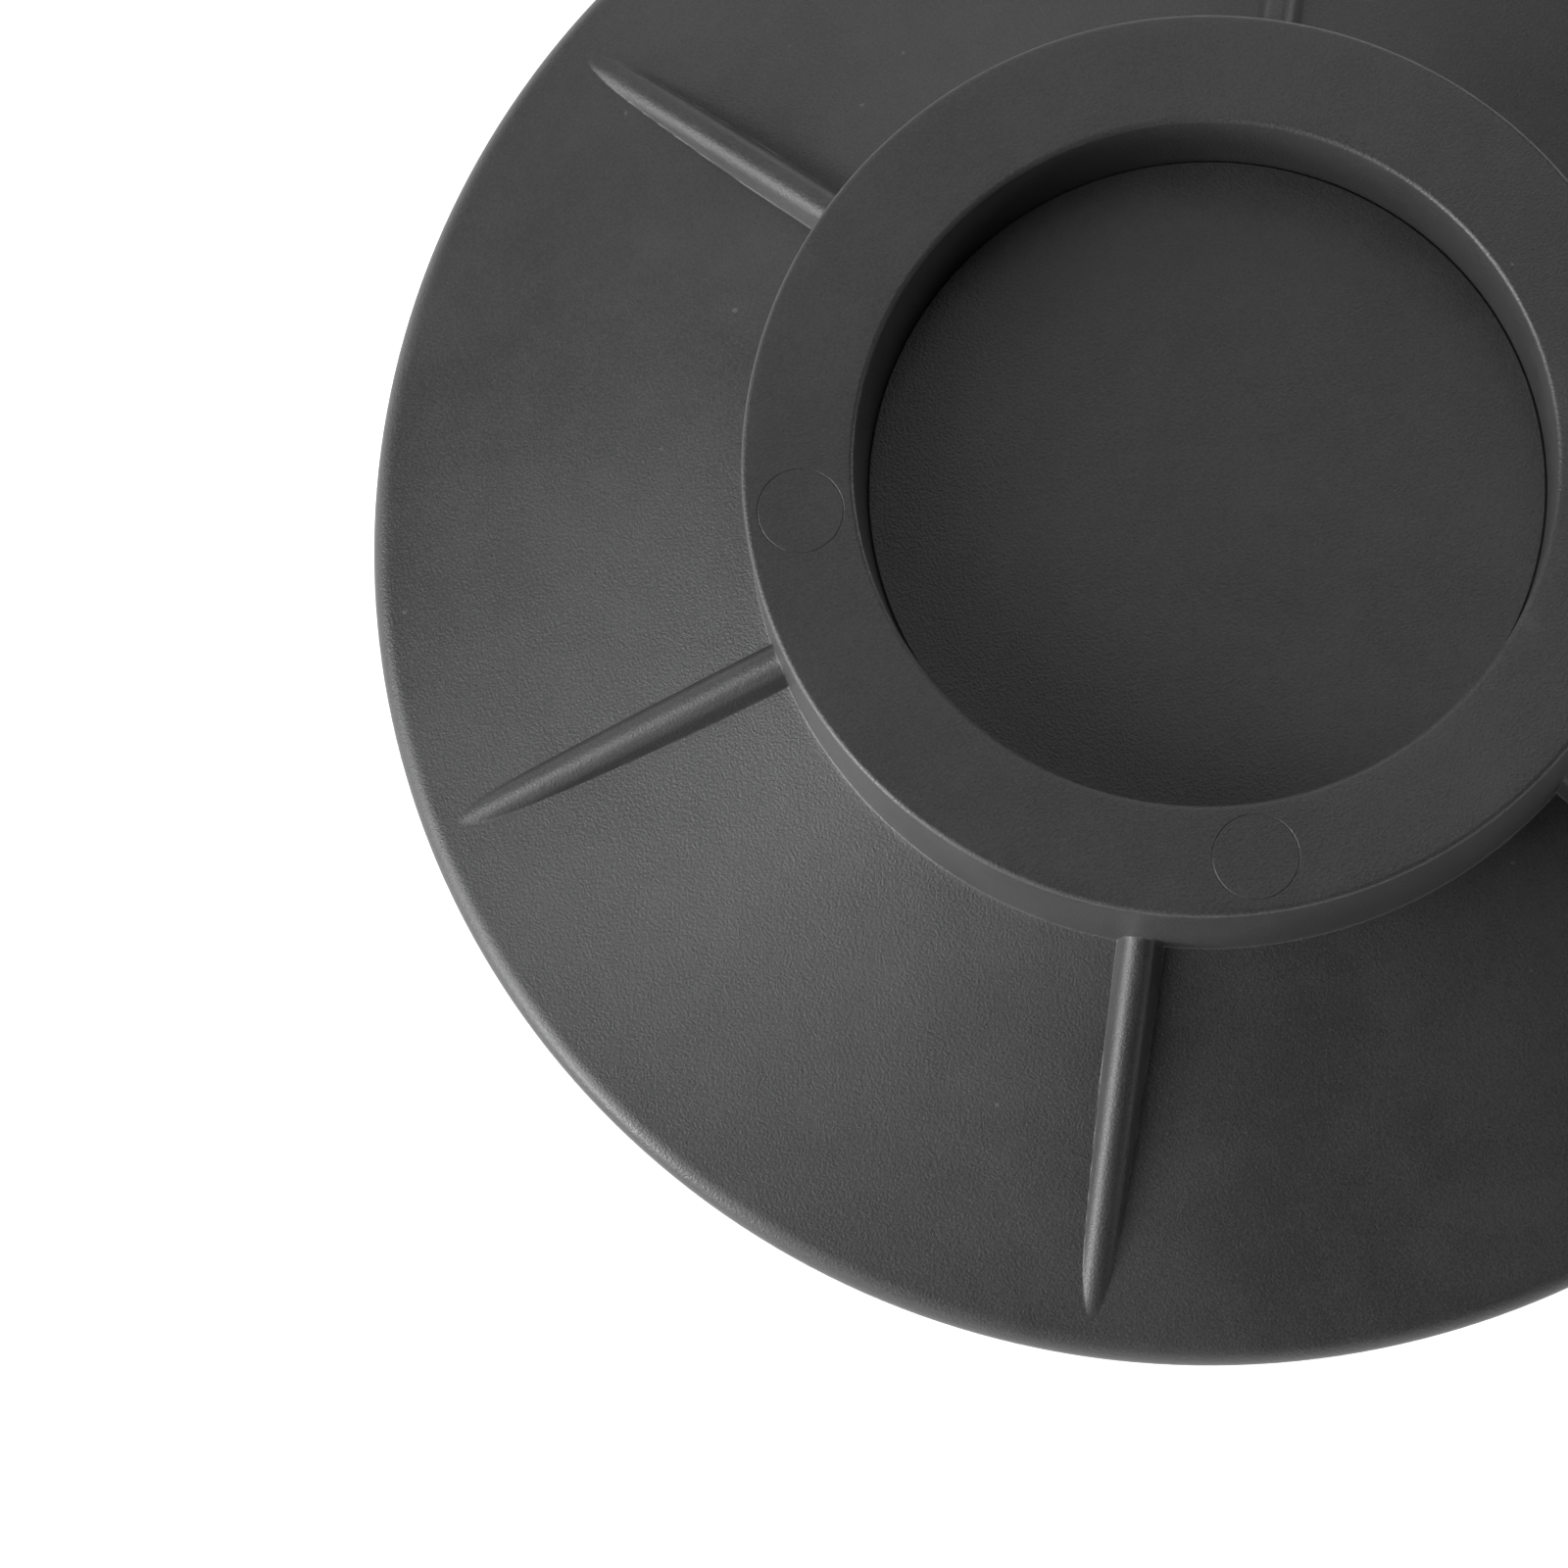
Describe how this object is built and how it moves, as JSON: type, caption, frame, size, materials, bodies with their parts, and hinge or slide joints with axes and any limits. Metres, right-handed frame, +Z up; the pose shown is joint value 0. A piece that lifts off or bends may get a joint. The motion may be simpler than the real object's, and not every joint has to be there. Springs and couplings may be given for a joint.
{
  "type": "desk grommet",
  "caption": "Round desk cable grommet: domed ribbed flange, raised collar with a lift-out cap in its recess, threaded sleeve with clamp washer and lock ring under the desk.",
  "frame": {"origin": "on the collar's axis, in the plane of the desk surface that the flange's foam ring rests on", "axes": "+Z up out of the desk along the collar's axis; +X along one of the flange's ribs; the sleeve goes down through the desk along -Z"},
  "size_m": [0.102, 0.102, 0.0622],
  "materials": {
    "cover_plastic": "fine spark-eroded matte, charcoal grey",
    "sleeve_plastic": "satin moulded black",
    "cap_plastic": "fine spark-eroded matte, charcoal grey",
    "ring_plastic": "satin moulded black",
    "foam": "closed-cell foam",
    "seal_rubber": "smooth rubber",
    "washer_steel": "zinc plated",
    "screw_steel": "zinc plated"
  },
  "bodies": {
    "grommet": {"flange_cover": "cover_plastic", "mounting_sleeve": "sleeve_plastic", "cover_screws": "screw_steel", "desk_gasket": "foam"},
    "cap": {"blanking_cap": "cap_plastic", "cap_seal_ring": "seal_rubber"},
    "washer": {"clamp_washer": "washer_steel"},
    "ring": {"lock_ring": "ring_plastic"}
  },
  "joints": [
    {"name": "cap_lift", "type": "slide", "parent": "grommet", "child": "cap", "axis": [0, 0, 1], "range_m": [0, 0.03]},
    {"name": "clamp_travel", "type": "slide", "parent": "grommet", "child": "washer", "axis": [0, 0, 1], "range_m": [-0.0051, 0.0131]},
    {"name": "lock_ring_turn", "type": "hinge", "parent": "washer", "child": "ring", "pos_m": [0, 0, -0.0316], "axis": [0, 0, 1], "range_deg": [-450, 1170]}
  ],
  "couplings": [
    {"joint": "clamp_travel", "follows": "lock_ring_turn", "m_per_rad": 0.00063662}
  ]
}
